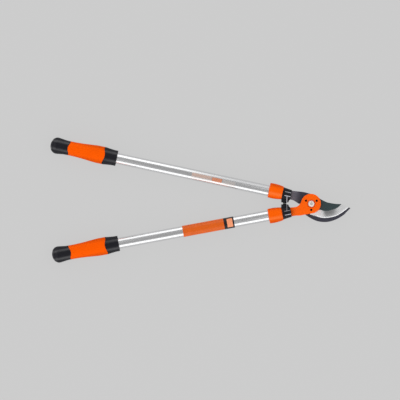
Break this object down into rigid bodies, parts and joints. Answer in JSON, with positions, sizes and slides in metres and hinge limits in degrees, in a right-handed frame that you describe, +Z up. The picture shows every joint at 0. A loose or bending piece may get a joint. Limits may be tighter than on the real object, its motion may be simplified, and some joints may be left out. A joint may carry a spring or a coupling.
{
  "type": "telescopic bypass lopper",
  "caption": "Two-handed bypass lopper with a curved hook, a hollow-ground cutting blade, telescopic round tube handles and waisted grips.",
  "frame": {"origin": "middle of the base, at the centre of the closed tool's footprint as it lies on its flat side", "axes": "+X from the grips towards the blades along the middle line between the handles, +Z up out of the flat side on which the bolt head shows, +Y towards the handle that carries the hook"},
  "size_m": [0.6868, 0.2858, 0.0352],
  "materials": {
    "hook_coating": "dark satin low-friction coating",
    "blade_coating": "dark satin low-friction coating with a bright ground bevel",
    "orange_paint": "satin orange",
    "orange_plastic": "satin to gloss orange moulding",
    "orange_grip": "soft satin orange sleeve",
    "black_plastic": "satin black moulding",
    "black_rubber": "matt black",
    "tube_aluminium": "bright drawn tube",
    "fastener_steel": "bright zinc plated",
    "screw_steel": "dark oxide",
    "natural_plastic": "natural nylon",
    "plug_metal": "turned"
  },
  "bodies": {
    "hook_half": {"hook_blade": "hook_coating", "upper_ferrule": "orange_plastic", "upper_bumper_collar": "black_plastic", "upper_bumper_pad": "black_rubber", "upper_outer_tube": "tube_aluminium", "upper_tang_insert": "natural_plastic", "upper_tang_pin_front": "fastener_steel", "upper_tang_pin_rear": "fastener_steel", "upper_guide_bush": "black_plastic"},
    "blade_half": {"cutting_blade": "blade_coating", "lever_arm": "orange_paint", "pivot_bolt": "fastener_steel", "pivot_washer": "fastener_steel", "spring_washer": "fastener_steel", "pivot_nut": "fastener_steel", "blade_screw_1": "screw_steel", "blade_screw_2": "screw_steel", "blade_screw_3": "screw_steel", "lower_ferrule": "orange_plastic", "lower_bumper_collar": "black_plastic", "lower_bumper_pad": "black_rubber", "lower_outer_tube": "tube_aluminium", "lower_tang_insert": "natural_plastic", "lower_tang_pin_front": "fastener_steel", "lower_tang_pin_rear": "fastener_steel", "lower_guide_bush": "black_plastic"},
    "upper_lock_slide": {"upper_lock_ring": "natural_plastic"},
    "upper_grip_section": {"upper_lock_plug": "plug_metal", "upper_inner_tube": "tube_aluminium", "upper_grip_core": "black_plastic", "upper_grip_cover": "orange_grip", "upper_grip_cap": "black_plastic", "upper_grip_pin": "fastener_steel"},
    "lower_lock_slide": {"lower_lock_ring": "natural_plastic"},
    "lower_grip_section": {"lower_lock_plug": "plug_metal", "lower_inner_tube": "tube_aluminium", "lower_grip_core": "black_plastic", "lower_grip_cover": "orange_grip", "lower_grip_cap": "black_plastic", "lower_grip_pin": "fastener_steel"}
  },
  "joints": [
    {"name": "pivot", "type": "hinge", "parent": "hook_half", "child": "blade_half", "pos_m": [0.25372, -0.00068, 0.0176], "axis": [0, 0, 1], "range_deg": [0, 55]},
    {"name": "upper_extend", "type": "slide", "parent": "hook_half", "child": "upper_lock_slide", "axis": [-0.9807, 0.1954, 0], "range_m": [-0.007, 0.318]},
    {"name": "upper_twist", "type": "hinge", "parent": "upper_lock_slide", "child": "upper_grip_section", "pos_m": [0.29872, -0.00068, 0.0176], "axis": [-0.9807, 0.1954, 0], "range_deg": [0, 180]},
    {"name": "lower_extend", "type": "slide", "parent": "blade_half", "child": "lower_lock_slide", "axis": [-0.9807, -0.1954, 0], "range_m": [0, 0.325]},
    {"name": "lower_twist", "type": "hinge", "parent": "lower_lock_slide", "child": "lower_grip_section", "pos_m": [0.29872, -0.00068, 0.0176], "axis": [-0.9807, -0.1954, 0], "range_deg": [0, 180]}
  ]
}
